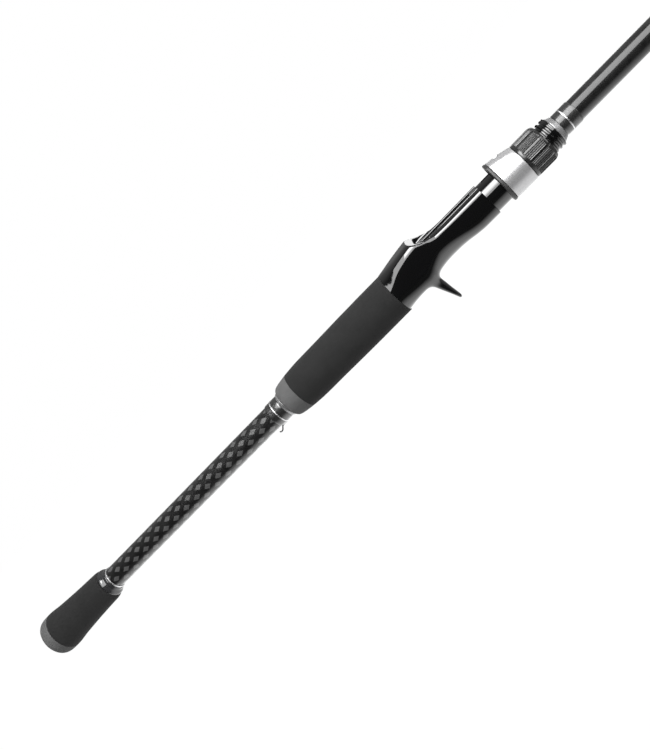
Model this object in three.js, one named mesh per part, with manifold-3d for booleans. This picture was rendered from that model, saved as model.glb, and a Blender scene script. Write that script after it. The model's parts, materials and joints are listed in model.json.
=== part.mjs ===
// A one-piece trigger-grip casting rod for a low-profile or round casting reel.
//
// Frame: millimetres. The rod's axis is X, from the butt end at the origin to the tip at +X.
// +Z is the side that carries the reel and the line guides, and the trigger hangs below, at -Z.

import * as THREE from 'three';
import { mergeVertices } from 'three/addons/utils/BufferGeometryUtils.js';
import Module from 'manifold-3d';

const wasm = await Module();
wasm.setup();

// ---------------------------------------------------------------- driving dimensions

const ROD_LENGTH = 2134; // a seven-foot rod, without the tip guide's loop
const GLUE = 0.12; // glue line between two fixed concentric pieces
const RUNNING = 0.35; // radial room around a piece that slides or turns
const FINE = 28; // facets round the seat's barrel, the hood and its liner
const PLAIN = 20; // facets round the grips and their fittings
const SLIM = 16; // facets round the blank and the line guides' wraps
const LOOP = 12; // facets round a line guide's ring

// Blank: a parallel handle section, then a straight taper to the tip.
const BLANK = { start: 5, butt: 7.1, taperFrom: 214, check: 445, checkRadius: 6.25, tip: 1.1 };
const BLANK_WALL = { butt: 1.5, tip: 0.55 };

// Butt grip and its fittings, as places along the rod.
const CAP = { rim: 13.45, end: 9.5, bore: 4.6 };
// The cap's rounded edge: place and radius.
const CAP_EDGE = [
  [0, 6], [0.2, 8.3], [0.6, 10.1], [1.2, 11.3], [2, 12.15], [3, 12.8], [4.4, 13.25], [6.2, 13.42],
];
const BUTT_GRIP = { end: 57.5 };
const BUTT_CHECK = { end: 63, rear: 9.6, front: 7.9 };
const BUTT_RING = { end: 64.4, radius: 7.6 };

// Fittings behind the main grip.
const REAR_WRAP = { start: 214.5, end: 224, radius: 7.62 };
const REAR_RING = { at: 219, width: 0.9, radius: 7.8 };
const REAR_CHECK = { end: 226, radius: 8.5 };
const KEEPER = { wire: 0.35, reach: 5.2, drop: 2.3, foot: 3.0 };

// Main grip.
const GRIP = { start: 226, bandEnd: 237, end: 314.6, radius: 12.85 };

// Reel seat: body with the trigger, then a threaded barrel.
const SEAT = { start: 314.8, crest: 337, mouth: 348, step: 383.6, end: 429.8, bore: 7.55 };
const BARREL = { radius: 9.0, root: 8.35, threadFrom: 419.3, pitch: 2.5 };
const KEYWAY = { width: 3.0, floor: 8.25, from: 387 };
const POCKET = { halfWidth: 7.4, floor: 8.95, ceiling: 13.0, from: 332.5, toe: 325 };
const RIB = { halfWidth: 0.85, top: 10.1, drop: 0.75, side: 4, from: 349, centreEnd: 379, sideEnd: 383.4 };
const ARBORS = [[318, 333], [350, 365], [398, 428]];

// Sliding hood, its liner and the lock nut.
const HOOD = { start: 395, end: 408.9, radius: 10.85, top: 13.9, shell: 0.65, bore: 9.82 };
const LINER = { start: 393, end: 406, keyFrom: 402 };
const NUT = { start: 409.3, flange: 411.3, chamfer: 420.9, end: 423.4, radius: 10.8, groove: 10.25 };
const NUT_PANELS = 12;
const SNAP = { from: 406.5, lip: 407.3, radius: 9.62, lipRadius: 10.02 };

// Fittings in front of the reel seat.
const FRONT_CHECK = { start: 430, end: 432.9, rear: 8.0, front: 6.85 };
const FRONT_WRAP = { end: 443.5, radius: 6.66 };
const FRONT_RING = { at: 437.5, width: 0.9, radius: 6.82 };

// Line guides from the handle to the tip: place, outer ring size, height above the blank, feet.
const GUIDES = [
  { at: 949, size: 12, height: 13, feet: 2 },
  { at: 1149, size: 10, height: 10.5, feet: 2 },
  { at: 1331, size: 8, height: 8.5, feet: 2 },
  { at: 1498, size: 7, height: 7, feet: 1 },
  { at: 1651, size: 6, height: 6, feet: 1 },
  { at: 1791, size: 5.5, height: 5.4, feet: 1 },
  { at: 1918, size: 5.5, height: 5.2, feet: 1 },
  { at: 2032, size: 5.5, height: 5.0, feet: 1 },
];
const FOOT = { thickness: 0.65, width: 1.9, room: 0.1 };
const THREAD_LAYER = 0.38; // thickness of a line-guide wrap with its varnish
const TIP = { tubeLength: 14, tubeWall: 0.4, ringSize: 5.5, loopRise: 4.2, loopAhead: 5.5 };

// ---------------------------------------------------------------- materials

const LOOKS = {
  carbon: [0x1b1c1d, 0.25, 0.1],
  eva_black: [0x2d2d2e, 0.95, 0],
  eva_grey: [0x6d6d6e, 0.95, 0],
  seat_black: [0x121213, 0.12, 0],
  silver: [0xd4d5d6, 0.3, 0.9],
  liner: [0x46474a, 0.5, 0],
  nut_black: [0x1a1a1b, 0.35, 0],
  thread_black: [0x101011, 0.1, 0],
  check_grey: [0x8b8c8e, 0.2, 0.3],
  guide_frame: [0x5d6064, 0.3, 0.9],
  guide_ring: [0x1c1d20, 0.15, 0],
  arbor: [0xb9a988, 0.8, 0],
};

const root = new THREE.Group();

function add(name, geometry, look) {
  const [color, roughness, metalness] = LOOKS[look];
  const mesh = new THREE.Mesh(geometry, new THREE.MeshStandardMaterial({ color, roughness, metalness }));
  mesh.name = name;
  root.add(mesh);
  return mesh;
}

// ---------------------------------------------------------------- geometry helpers

// Position-only copy of a geometry with shared vertices merged and no empty triangles.
function welded(geometry) {
  const bare = new THREE.BufferGeometry();
  bare.setAttribute('position', geometry.getAttribute('position'));
  const count = bare.getAttribute('position').count;
  bare.setIndex(geometry.index ?? [...Array(count).keys()]);
  const merged = mergeVertices(bare, 1e-4);
  const source = merged.index.array;
  const kept = [];
  for (let i = 0; i < source.length; i += 3) {
    const [a, b, c] = [source[i], source[i + 1], source[i + 2]];
    if (a !== b && b !== c && c !== a) kept.push(a, b, c);
  }
  merged.setIndex(kept);
  return merged;
}

function signedVolume(geometry) {
  const p = geometry.getAttribute('position');
  const index = geometry.index.array;
  const corner = [new THREE.Vector3(), new THREE.Vector3(), new THREE.Vector3()];
  let sum = 0;
  for (let i = 0; i < index.length; i += 3) {
    corner.forEach((v, k) => v.fromBufferAttribute(p, index[i + k]));
    sum += corner[0].dot(corner[1].clone().cross(corner[2]));
  }
  return sum / 6;
}

// Welds a closed geometry and turns its faces outward.
function closed(geometry) {
  const g = welded(geometry);
  if (signedVolume(g) < 0) {
    const index = g.index.array;
    for (let i = 0; i < index.length; i += 3) {
      [index[i + 1], index[i + 2]] = [index[i + 2], index[i + 1]];
    }
  }
  g.computeVertexNormals();
  return g;
}

function toManifold(geometry) {
  const g = closed(geometry);
  return new wasm.Manifold(new wasm.Mesh({
    numProp: 3,
    vertProperties: new Float32Array(g.getAttribute('position').array),
    triVerts: new Uint32Array(g.index.array),
  }));
}

function fromManifold(solid) {
  const mesh = solid.getMesh();
  const g = new THREE.BufferGeometry();
  g.setAttribute('position', new THREE.BufferAttribute(new Float32Array(mesh.vertProperties), 3));
  g.setIndex([...mesh.triVerts]);
  return closed(g);
}

// The first geometry joined with `joined`, less each geometry in `cuts`.
function carve(base, { joined = [], cuts = [] }) {
  let solid = toManifold(base);
  for (const g of joined) solid = solid.add(toManifold(g));
  for (const g of cuts) solid = solid.subtract(toManifold(g));
  return fromManifold(solid);
}

// A piece turned about the rod's axis. The profile is a closed loop of [along, radius] points,
// or starts and ends on the axis.
function turned(profile, facets = PLAIN) {
  const points = profile.map(([x, r]) => new THREE.Vector2(r, x));
  if (profile[0][1] > 0) points.push(points[0].clone());
  return closed(new THREE.LatheGeometry(points, facets).rotateZ(-Math.PI / 2));
}

// A ring of the given outline: rear and front places, bore and outer radii at each end.
function sleeve(x0, x1, bore, outer, outerFront = outer, facets = PLAIN) {
  return turned([[x0, bore], [x0, outer], [x1, outerFront], [x1, bore]], facets);
}

// A solid skinned over sections. place(section, angle, share) gives a point, where share is
// 0 at the middle of an end section and 1 on the outline.
function skinned(sections, facets, place) {
  const profile = [new THREE.Vector2(0, 0)];
  for (let i = 0; i < sections.length; i++) profile.push(new THREE.Vector2(1, i));
  profile.push(new THREE.Vector2(0, sections.length - 1));
  const g = new THREE.LatheGeometry(profile, facets);
  const p = g.getAttribute('position');
  for (let i = 0; i < p.count; i++) {
    const section = sections[Math.round(p.getY(i))];
    const share = Math.round(Math.hypot(p.getX(i), p.getZ(i)));
    const [x, y, z] = place(section, Math.atan2(p.getZ(i), p.getX(i)), share);
    p.setXYZ(i, x, y, z);
  }
  return closed(g);
}

function block([x0, y0, z0], [x1, y1, z1]) {
  const g = new THREE.BoxGeometry(x1 - x0, y1 - y0, z1 - z0);
  return g.translate((x0 + x1) / 2, (y0 + y1) / 2, (z0 + z1) / 2);
}

function rod(x0, x1, radius, facets = FINE) {
  return turned([[x0, 0], [x0, radius], [x1, radius], [x1, 0]], facets);
}

// A round or flattened wire along a smooth line through the given points.
function wire(points, halfWidth, halfHeight, steps, sides = 8) {
  const outline = new THREE.Shape();
  outline.absellipse(0, 0, halfHeight, halfWidth, 0, Math.PI * 2);
  const path = new THREE.CatmullRomCurve3(points.map((p) => new THREE.Vector3(...p)));
  const g = new THREE.ExtrudeGeometry(outline, { steps, extrudePath: path, curveSegments: sides });
  return closed(g);
}

const mix = (a, b, t) => a + (b - a) * t;

function blankRadius(x) {
  if (x < BLANK.taperFrom) return BLANK.butt;
  if (x < BLANK.check) {
    return mix(BLANK.butt, BLANK.checkRadius, (x - BLANK.taperFrom) / (BLANK.check - BLANK.taperFrom));
  }
  return mix(BLANK.checkRadius, BLANK.tip, (x - BLANK.check) / (ROD_LENGTH - BLANK.check));
}

// ---------------------------------------------------------------- blank

function makeBlank() {
  const wallAt = (x) => mix(BLANK_WALL.butt, BLANK_WALL.tip, x / ROD_LENGTH);
  const stations = [BLANK.start, BLANK.taperFrom, BLANK.check, 1000, 1600, ROD_LENGTH];
  const outside = stations.map((x) => [x, blankRadius(x)]);
  const inside = stations.map((x) => [x, blankRadius(x) - wallAt(x)]).reverse();
  return turned([...outside, ...inside], SLIM);
}

// ---------------------------------------------------------------- butt end

function makeButtCap() {
  const { rim, end, bore } = CAP;
  return turned([
    [0, 0], ...CAP_EDGE, [end, rim], [end, BLANK.butt + GLUE], [bore, BLANK.butt + GLUE], [bore, 0],
  ]);
}

function makeButtGrip() {
  const bore = BLANK.butt + GLUE;
  const outline = [
    [CAP.end + GLUE, 13.45], [12, 13.3], [17, 12.75], [24, 12.1], [33, 11.5], [43, 10.95], [54.5, 10.45],
    [56.6, 10.15], [BUTT_GRIP.end, 9.5],
  ];
  return turned([[CAP.end + GLUE, bore], ...outline, [BUTT_GRIP.end, bore]]);
}

function makeButtCheck() {
  const bore = BLANK.butt + GLUE;
  const start = BUTT_GRIP.end + GLUE;
  const { end, rear, front } = BUTT_CHECK;
  return turned([
    [start, bore], [start, rear - 0.3], [start + 0.6, rear], [start + 1.8, rear - 0.15],
    [start + 3.4, mix(rear, front, 0.55)], [end - 0.5, front], [end, front - 0.25], [end, bore],
  ]);
}

// ---------------------------------------------------------------- wraps and trim behind the grip

function makeTrimRing({ at, width, radius }, bore) {
  const [x0, x1] = [at - width / 2, at + width / 2];
  return turned([[x0, bore], [x0, radius - 0.12], [at, radius], [x1, radius - 0.12], [x1, bore]]);
}

// A varnished thread wrap with a seat for its trim ring, following a tapered blank.
function makeWrap(start, end, radius, ring, seatDepth) {
  const [r0, r1] = [ring.at - ring.width / 2 - GLUE, ring.at + ring.width / 2 + GLUE];
  return turned([
    [start, blankRadius(start) + GLUE], [start, radius - 0.25], [start + 0.8, radius], [r0, radius],
    [r0, radius - seatDepth], [r1, radius - seatDepth], [r1, radius], [end - 0.5, radius],
    [end, radius - 0.1], [end, blankRadius(start) + GLUE],
  ]);
}

function keeperLine() {
  const shaft = -(BLANK.butt + GLUE + KEEPER.wire);
  const x = REAR_WRAP.start;
  const low = shaft - KEEPER.drop;
  return [
    [x + KEEPER.foot, 0, shaft], [x + 1, 0, shaft], [x - 0.8, 0, shaft - 0.25], [x - 2, 0, shaft - 1.2],
    [x - 3, 0, low + 0.25], [x - 4.2, 0, low], [x - KEEPER.reach, 0, low + 0.7],
  ];
}

function makeRearWrap() {
  const keeperHalf = KEEPER.wire + 0.08;
  const bottom = -(BLANK.butt + 2 * KEEPER.wire + 2 * GLUE);
  const [x0, x1] = [REAR_WRAP.start, REAR_WRAP.start + KEEPER.foot + 0.6];
  const bump = block([x0 + 0.05, -0.9, bottom - 0.45], [x1, 0.9, -BLANK.butt + 1]);
  const channel = block([x0 - 1, -keeperHalf, bottom - 0.1], [x1 - 0.4, keeperHalf, -BLANK.butt + 1]);
  const bore = rod(x0 - 1, REAR_WRAP.end + 1, BLANK.butt + GLUE, PLAIN);
  const wrap = makeWrap(x0, REAR_WRAP.end, REAR_WRAP.radius, REAR_RING, 0.2);
  return carve(wrap, { joined: [bump], cuts: [channel, bore] });
}

function makeRearCheck() {
  const bore = BLANK.butt + GLUE;
  const start = REAR_WRAP.end + GLUE;
  const { end, radius } = REAR_CHECK;
  return turned([[start, bore], [start, radius - 0.6], [start + 1, radius - 0.1], [end - 0.3, radius],
    [end, radius - 0.1], [end, bore]]);
}

// ---------------------------------------------------------------- main grip

function makeGripBand() {
  const bore = BLANK.butt + GLUE;
  const start = GRIP.start + GLUE;
  return turned([
    [start, bore], [start, 8.6], [start + 0.5, 9.6], [start + 1.5, 10.35], [start + 3.5, 10.95],
    [start + 7, 11.5], [GRIP.bandEnd, 12], [GRIP.bandEnd, bore],
  ]);
}

function makeMainGrip() {
  const bore = BLANK.butt + GLUE;
  const start = GRIP.bandEnd + GLUE;
  return turned([
    [start, bore], [start, 12.02], [241, 12.3], [247, 12.6], [262, 12.68], [276, 12.82],
    [292, GRIP.radius + 0.05], [GRIP.end, GRIP.radius - 0.05], [GRIP.end, bore],
  ]);
}

// ---------------------------------------------------------------- reel seat

// Sections of the seat's body: place, top, underside, half width, height of the widest line,
// and how square the upper and lower halves are (2 is an ellipse).
const SEAT_SECTIONS = [
  [SEAT.start, 12.8, -12.3, 12.7, 0, 2.15, 2.05],
  [321, 13.45, -10.9, 12.2, 1.4, 2.9, 2.6],
  [325, 13.8, -10.45, 11.9, 2.2, 3.4, 3.0],
  [330, 14.25, -10.3, 11.5, 2.9, 3.9, 3.2],
  [334, 14.65, -10.1, 11.2, 3.3, 4.2, 3.1],
  [SEAT.crest, 14.9, -9.6, 11.0, 3.5, 4.3, 2.8],
  [343.5, 12.6, -8.4, 10.3, 3.3, 4.0, 2.1],
  [SEAT.mouth, 10.4, -8.25, 9.75, 3.0, 3.8, 1.8],
  [352, 9.3, -8.2, 9.4, 2.5, 4.2, 1.75],
  [362, 9.1, -8.5, 9.25, 1.0, 4.2, 2.0],
  [368, 9.1, -9.2, 9.3, 0.4, 4.2, 2.3],
  [374, 9.1, -9.55, 9.3, 0, 4.2, 2.5],
  [SEAT.step, 9.1, -9.6, 9.3, 0, 4.2, 2.5],
];

function power(value, exponent) {
  return Math.sign(value) * Math.abs(value) ** exponent;
}

// A point on a section whose upper and lower halves are separate superellipses.
function squircle([x, top, bottom, halfWidth, middle, squareTop, squareBottom], angle, share) {
  const upper = Math.sin(angle) >= 0;
  const exponent = 2 / (upper ? squareTop : squareBottom);
  const rise = upper ? top - middle : middle - bottom;
  const y = halfWidth * power(Math.cos(angle), exponent);
  const z = middle + rise * power(Math.sin(angle), exponent);
  return [x, y * share, share ? z : middle];
}

// Sections of the trigger from its root down: height, rear and front places, half width.
const TRIGGER_SECTIONS = [
  [-3, 325, 346, 6.0],
  [-7.5, 326.5, 344.6, 6.0],
  [-9.6, 328.2, 341.6, 5.8],
  [-11.4, 330.0, 339.3, 5.4],
  [-13.3, 331.4, 338.2, 5.0],
  [-16.5, 333.1, 338.1, 4.6],
  [-20.5, 334.7, 338.4, 4.1],
  [-24.0, 336.0, 338.75, 3.5],
  [-26.8, 336.9, 338.95, 2.8],
  [-27.7, 337.4, 338.75, 1.8],
];

function triggerPoint([z, rear, front, halfWidth], angle, share) {
  const centre = (rear + front) / 2;
  const x = centre + share * ((front - rear) / 2) * Math.cos(angle);
  return [x, share * halfWidth * Math.sin(angle), z];
}

// The fixed hood's pocket, seen from the side, which takes the reel foot's rear end.
function pocketCut() {
  const { halfWidth, floor, ceiling, from, toe } = POCKET;
  const side = new THREE.Shape([
    new THREE.Vector2(toe, floor), new THREE.Vector2(SEAT.mouth + 3, floor),
    new THREE.Vector2(SEAT.mouth + 3, ceiling + 4), new THREE.Vector2(SEAT.crest + 2.6, ceiling + 4),
    new THREE.Vector2(SEAT.crest + 0.9, ceiling), new THREE.Vector2(from, ceiling),
    new THREE.Vector2(toe, floor + 1.6),
  ]);
  const g = new THREE.ExtrudeGeometry(side, { depth: 2 * halfWidth, bevelEnabled: false });
  return g.rotateX(Math.PI / 2).translate(0, halfWidth, 0);
}

// The barrel with thread grooves in front of the nut.
function makeBarrel() {
  const profile = [[SEAT.step - 4, 0], [SEAT.step - 4, BARREL.radius]];
  const { radius, root: rootRadius, threadFrom, pitch } = BARREL;
  for (let x = threadFrom; x + pitch <= SEAT.end + 0.01; x += pitch) {
    profile.push([x, radius], [x + pitch * 0.32, rootRadius], [x + pitch * 0.5, rootRadius],
      [x + pitch * 0.82, radius]);
  }
  profile.push([SEAT.end, radius - 0.1], [SEAT.end, 0]);
  return turned(profile, FINE);
}

function makeSeat() {
  const body = skinned(SEAT_SECTIONS, 32, squircle);
  const trigger = skinned(TRIGGER_SECTIONS, 12, triggerPoint);
  const ribs = [[-RIB.side, RIB.sideEnd], [0, RIB.centreEnd], [RIB.side, RIB.sideEnd]].map(
    ([y, end]) => {
      const top = y ? RIB.top - RIB.drop : RIB.top;
      return block([RIB.from, y - RIB.halfWidth, 6], [end, y + RIB.halfWidth, top]);
    },
  );
  const keyway = block(
    [KEYWAY.from, -KEYWAY.width / 2, KEYWAY.floor], [SEAT.end + 1, KEYWAY.width / 2, BARREL.radius + 2]);
  const bore = rod(SEAT.start - 1, SEAT.end + 1, SEAT.bore, PLAIN);
  return carve(body, { joined: [trigger, makeBarrel(), ...ribs], cuts: [pocketCut(), keyway, bore] });
}

// ---------------------------------------------------------------- sliding hood, liner and nut

// The hood's outline at a place along it, drawn in by an inset.
function hoodSection(x, inset, bottom = HOOD.radius - inset) {
  const t = (x - LINER.start) / (HOOD.end - LINER.start);
  const top = mix(HOOD.top, HOOD.radius + 0.15, t) - inset;
  return [x, Math.max(top, bottom), -bottom, bottom, 0, mix(3.1, 2.1, t), 2];
}

function hoodSolid(x0, x1, inset, bottom) {
  const places = [0, 1 / 3, 2 / 3, 1].map((share) => mix(x0, x1, share));
  return skinned(places.map((x) => hoodSection(x, inset, bottom)), FINE, squircle);
}

function makeHood() {
  const dimple = new THREE.CylinderGeometry(1, 1, 6, 16).rotateX(Math.PI / 2).scale(1.3, 0.8, 1);
  return carve(hoodSolid(HOOD.start, HOOD.end, 0), {
    cuts: [
      hoodSolid(HOOD.start - 1, HOOD.end - 1, HOOD.shell),
      rod(HOOD.start, HOOD.end + 1, HOOD.bore),
      dimple.translate(401, 0, 14),
    ],
  });
}

function makeLiner() {
  const bore = BARREL.radius + RUNNING;
  const body = hoodSolid(LINER.start + 0.5, LINER.end, HOOD.shell + 0.12);
  const rim = hoodSolid(LINER.start, HOOD.start - 0.08, 0.08);
  const key = block([LINER.keyFrom, -1.15, KEYWAY.floor + RUNNING], [LINER.end, 1.15, 10.6]);
  const [x0, x1] = [LINER.start - 1, LINER.end + 1];
  const hollow = carve(carve(body, { joined: [rim] }), {
    cuts: [hoodSolid(x0, x1, 1.75, bore - 0.25), rod(x0, x1, bore)],
  });
  return carve(hollow, { joined: [key] });
}

// Twelve raised panels with grooves between them, a plain flange behind and a chamfer in front.
function makeNut() {
  const bore = BARREL.radius + RUNNING;
  const facets = NUT_PANELS * 3;
  const grip = (section, angle, share) => {
    const [x, high, low] = section;
    const step = Math.round(((angle + 2 * Math.PI) / (2 * Math.PI)) * facets) % 3;
    const r = (step === 0 ? low : high) * share;
    return [x, r * Math.cos(angle), r * Math.sin(angle)];
  };
  const { radius, groove } = NUT;
  const outside = skinned([
    [NUT.start, radius - 0.2, radius - 0.2], [NUT.start + 0.2, radius, radius],
    [NUT.flange - 0.2, radius, radius], [NUT.flange, radius - 0.1, groove],
    [NUT.chamfer, radius - 0.1, groove], [NUT.end - 0.8, radius - 0.9, groove - 0.45], [NUT.end, 9.75, 9.7],
  ], facets, grip);
  const collar = turned([
    [SNAP.from, bore], [SNAP.from, SNAP.lipRadius - 0.1], [SNAP.lip - 0.1, SNAP.lipRadius],
    [SNAP.lip, SNAP.radius], [NUT.start + 0.5, SNAP.radius], [NUT.start + 0.5, bore],
  ], FINE);
  return carve(outside, { joined: [collar], cuts: [rod(SNAP.from - 1, NUT.end + 1, bore)] });
}

// ---------------------------------------------------------------- fittings in front of the seat

function makeFrontCheck() {
  const { start, end, rear, front } = FRONT_CHECK;
  const bore = blankRadius(start) + GLUE;
  return turned([[start, bore], [start, rear], [start + 0.5, rear], [end - 0.4, front], [end, front - 0.1],
    [end, bore]]);
}

// ---------------------------------------------------------------- line guides

// Ring insert with a rounded section, its plane across the rod.
function makeRing(size, at, height) {
  const outer = size / 2 - 0.55;
  const depth = Math.max(1.4, size * 0.17);
  const thick = Math.max(0.75, size * 0.085);
  const bore = outer - thick;
  const ring = turned([
    [-depth / 2, bore + thick * 0.5], [-depth / 2, outer - 0.05], [depth / 2, outer - 0.05],
    [depth / 2, bore + thick * 0.5], [0, bore],
  ], LOOP);
  return ring.translate(at, 0, height);
}

// One flat foot on the blank and the two struts that rise from it to the ring.
function footAndStruts(at, seat, height, size, direction, spread) {
  const near = at + direction * size * 0.55;
  const far = near + direction * (4.5 + size * 0.75);
  const top = seat + FOOT.thickness;
  const width = Math.min(FOOT.width, seat * 1.1);
  const foot = block([Math.min(near, far), -width / 2, seat], [Math.max(near, far), width / 2, top]);
  const reach = size / 2 - 0.2;
  const struts = spread.map((angle) => {
    const [y, z] = [reach * Math.sin(angle), height - reach * Math.cos(angle)];
    const root = near + direction * 0.8;
    return wire([[root, y * 0.12, top - 0.3], [mix(at, near, 0.5), y * 0.75, mix(top, z, 0.55)], [at, y, z]],
      0.42, 0.42, 3, 3);
  });
  return [foot, ...struts];
}

function makeGuideFrame({ at, size, height, feet }) {
  const seat = blankRadius(at - 12) + GLUE;
  const centre = seat + height;
  const bore = size / 2 - 0.52;
  const holder = turned([[-0.55, bore], [-0.55, size / 2 + 0.1], [0.55, size / 2 + 0.1], [0.55, bore]], LOOP);
  holder.translate(at, 0, centre);
  const pieces = footAndStruts(at, seat, centre, size, 1, [-0.95, 0.95]);
  if (feet === 2) pieces.push(...footAndStruts(at, seat, centre, size, -1, [0]));
  const throat = rod(at - 3, at + 3, bore, LOOP).translate(0, 0, centre);
  return carve(holder, { joined: pieces, cuts: [throat] });
}

// Thread wrap over one foot: a sleeve with a swelling above, hollowed for the blank and the foot.
function makeGuideWrap({ at, size }, direction) {
  const seat = blankRadius(at - 12) + GLUE;
  const x0 = at + direction * (size * 0.55 + 1.6);
  const x1 = at + direction * (size * 0.55 + 6.4 + size * 0.75);
  const lift = FOOT.thickness + THREAD_LAYER + FOOT.room;
  const width = Math.min(FOOT.width, seat * 1.1);
  const sections = [[x0, 1], [mix(x0, x1, 0.72), 1], [x1, 0]];
  const wrapped = skinned(sections, SLIM, ([x, swell], angle, share) => {
    const crown = Math.max(0, Math.sin(angle)) ** 3;
    const r = blankRadius(x) + GLUE + THREAD_LAYER + (lift - THREAD_LAYER) * swell * crown * 1.15;
    return [x, share * r * Math.cos(angle), share * r * Math.sin(angle)];
  });
  const [low, high] = [Math.min(x0, x1) - 1, Math.max(x0, x1) + 1];
  const bore = turned([[low, 0], [low, blankRadius(low) + GLUE], [high, blankRadius(high) + GLUE], [high, 0]],
    SLIM);
  const toe = at + direction * (size * 0.55 + 4.5 + size * 0.75 + FOOT.room);
  const start = x0 - direction * 1;
  const channel = block(
    [Math.min(start, toe), -width / 2 - FOOT.room, 0],
    [Math.max(start, toe), width / 2 + FOOT.room, seat + FOOT.thickness + FOOT.room]);
  return carve(wrapped, { cuts: [channel, bore] });
}

function makeTipTube() {
  const { tubeLength, tubeWall, ringSize, loopRise, loopAhead } = TIP;
  const start = ROD_LENGTH - tubeLength;
  const bore = blankRadius(start) + GLUE;
  const outer = bore + tubeWall;
  const end = ROD_LENGTH + 1;
  const tube = turned([[start, bore], [start, outer], [end, outer], [end, 0], [end - 0.6, 0],
    [end - 0.6, bore]], SLIM);
  const at = ROD_LENGTH + loopAhead;
  const centre = loopRise;
  const holder = turned([[-0.5, 0], [-0.5, ringSize / 2 + 0.1], [0.5, ringSize / 2 + 0.1], [0.5, 0]], LOOP);
  holder.translate(at, 0, centre);
  const reach = ringSize / 2 - 0.2;
  const struts = [-1.9, -0.45, 0.45, 1.9].map((angle) => {
    const [y, z] = [reach * Math.sin(angle), centre - reach * Math.cos(angle)];
    const rear = Math.abs(angle) > 1 ? start + 5 : end - 1.2;
    const height = Math.abs(angle) > 1 ? outer - 0.1 : 0;
    return wire([[rear, y * 0.15, height], [mix(rear, at, 0.55), y * 0.7, mix(height, z, 0.5)], [at, y, z]],
      0.4, 0.4, 4, 3);
  });
  const throat = rod(at - 3, at + 3, ringSize / 2 - 0.52, LOOP).translate(0, 0, centre);
  const blankRoom = rod(start - 1, end - 0.6, bore, SLIM);
  return carve(tube, { joined: [holder, ...struts], cuts: [throat, blankRoom] });
}

function makeTipWrap() {
  const start = ROD_LENGTH - TIP.tubeLength - 5;
  const end = ROD_LENGTH - TIP.tubeLength - GLUE;
  const outer = blankRadius(start) + GLUE + THREAD_LAYER;
  return sleeve(start, end, blankRadius(start) + GLUE, outer, outer, SLIM);
}

// ---------------------------------------------------------------- assembly

add('blank', makeBlank(), 'carbon');

add('butt_cap', makeButtCap(), 'eva_grey');
add('butt_grip', makeButtGrip(), 'eva_black');
add('butt_winding_check', makeButtCheck(), 'thread_black');
add('butt_trim_ring',
  sleeve(BUTT_CHECK.end + GLUE, BUTT_RING.end, BLANK.butt + GLUE, BUTT_RING.radius), 'silver');

add('hook_keeper', wire(keeperLine(), KEEPER.wire, KEEPER.wire, 16, 3), 'silver');
add('rear_thread_wrap', makeRearWrap(), 'thread_black');
add('rear_trim_ring', makeTrimRing(REAR_RING, REAR_WRAP.radius - 0.2 + GLUE), 'silver');
add('rear_winding_check', makeRearCheck(), 'check_grey');
add('grip_end_band', makeGripBand(), 'eva_grey');
add('main_grip', makeMainGrip(), 'eva_black');

add('reel_seat', makeSeat(), 'seat_black');
ARBORS.forEach(([x0, x1], i) => {
  const bore = blankRadius(x0) + GLUE;
  add(`seat_arbor_${i + 1}`, sleeve(x0, x1, bore, SEAT.bore - GLUE), 'arbor');
});

add('sliding_hood', makeHood(), 'silver');
add('hood_liner', makeLiner(), 'liner');
add('lock_nut', makeNut(), 'nut_black');

add('front_winding_check', makeFrontCheck(), 'check_grey');
add('front_thread_wrap',
  makeWrap(FRONT_CHECK.end + GLUE, FRONT_WRAP.end, FRONT_WRAP.radius, FRONT_RING, 0.12), 'thread_black');
add('front_trim_ring', makeTrimRing(FRONT_RING, FRONT_WRAP.radius - 0.12 + GLUE), 'silver');

GUIDES.forEach((guide, i) => {
  const label = `guide_${i + 1}`;
  const centre = blankRadius(guide.at - 12) + GLUE + guide.height;
  add(`${label}_frame`, makeGuideFrame(guide), 'guide_frame');
  add(`${label}_ring`, makeRing(guide.size, guide.at, centre), 'guide_ring');
  add(`${label}_front_wrap`, makeGuideWrap(guide, 1), 'thread_black');
  if (guide.feet === 2) add(`${label}_rear_wrap`, makeGuideWrap(guide, -1), 'thread_black');
});

add('tip_guide_tube', makeTipTube(), 'guide_frame');
add('tip_guide_ring', makeRing(TIP.ringSize, ROD_LENGTH + TIP.loopAhead, TIP.loopRise), 'guide_ring');
add('tip_thread_wrap', makeTipWrap(), 'thread_black');

export default root;
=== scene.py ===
"""Looks of a trigger-grip casting rod: foam grips, carbon blank, reel seat, hood, nut and line guides.

Lengths in the piece builders are millimetres in the part's frame: X runs from the butt to the tip and +Z is
the side that carries the reel. Meshes are scaled to metres when they are made.
"""

import json
import math

import bmesh
import bpy
import numpy as np
from mathutils import Matrix, Vector


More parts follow.
